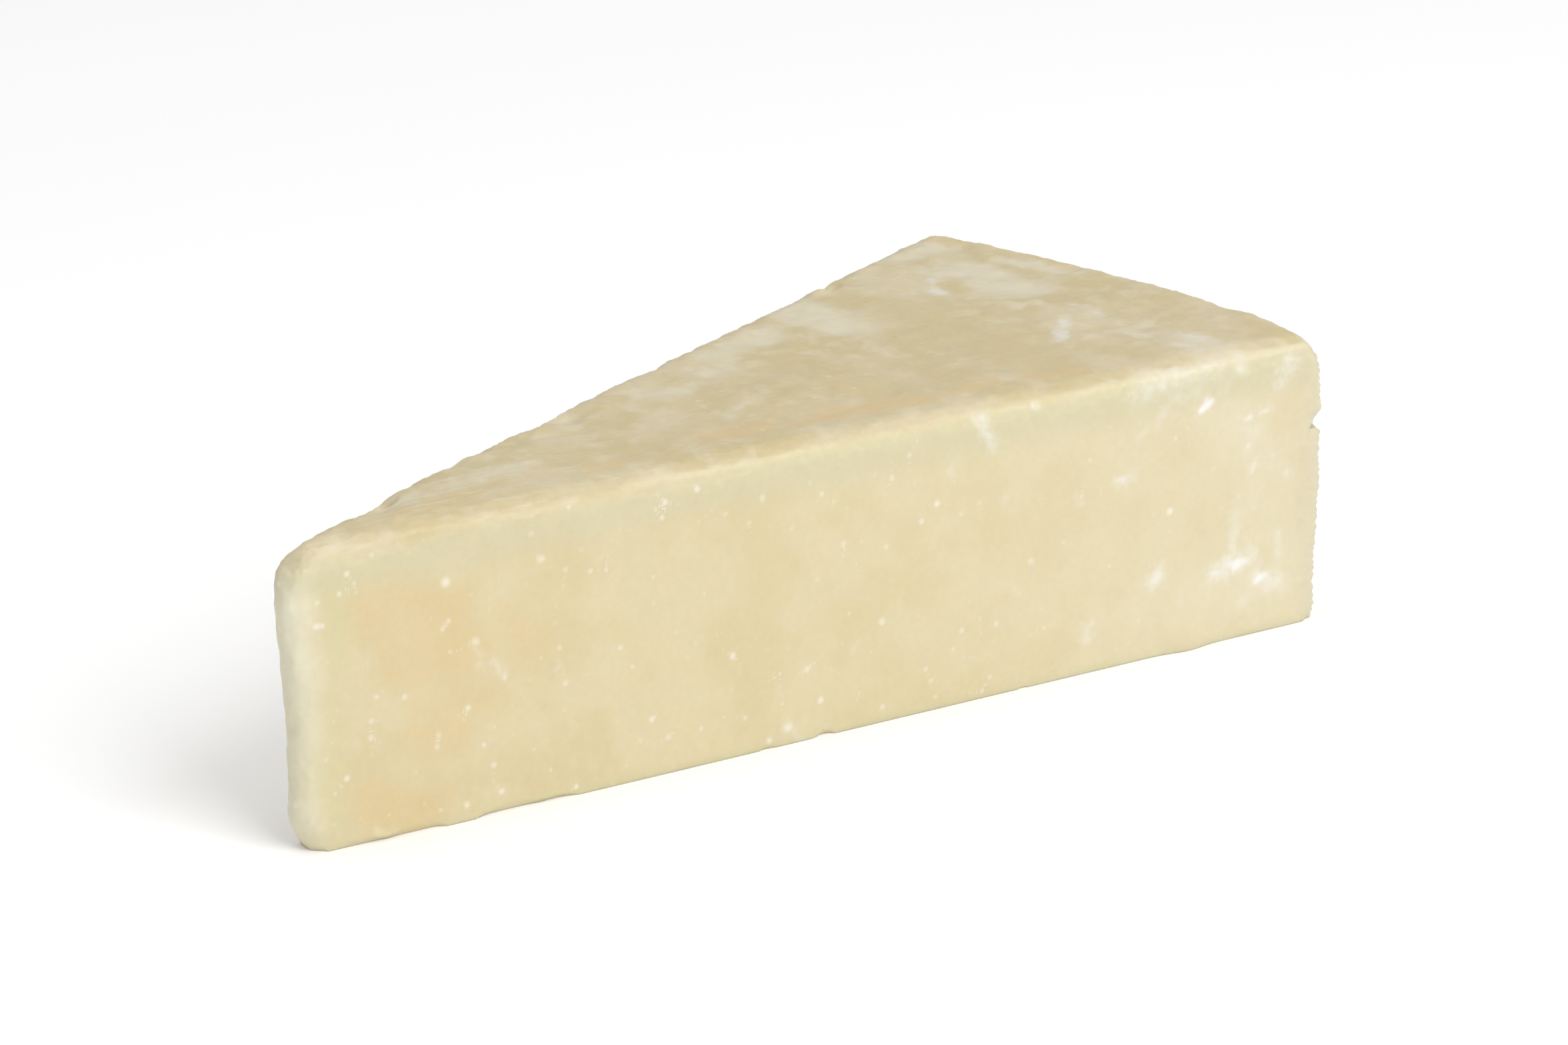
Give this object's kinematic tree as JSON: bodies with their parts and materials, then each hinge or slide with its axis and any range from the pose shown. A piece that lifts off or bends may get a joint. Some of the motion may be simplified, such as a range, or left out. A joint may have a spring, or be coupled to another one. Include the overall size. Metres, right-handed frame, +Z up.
{
  "type": "pecorino romano cheese wedge",
  "caption": "Narrow wedge of pale hard sheep's milk cheese with a blunt tip, thin natural rind on its top and its broad end, and cut paste on its long sides and foot.",
  "frame": {"origin": "middle of the bounding box at the foot, on the surface that the wedge stands on", "axes": "+X from the tip to the rind of the rim, +Z up, with the shown cut side facing -Y"},
  "size_m": [0.1512, 0.069, 0.0388],
  "materials": {
    "cheese": "pale ivory paste, slightly waxy, with white specks and a tan rind"
  },
  "bodies": {
    "root": {"cheese_wedge": "cheese"}
  },
  "joints": []
}
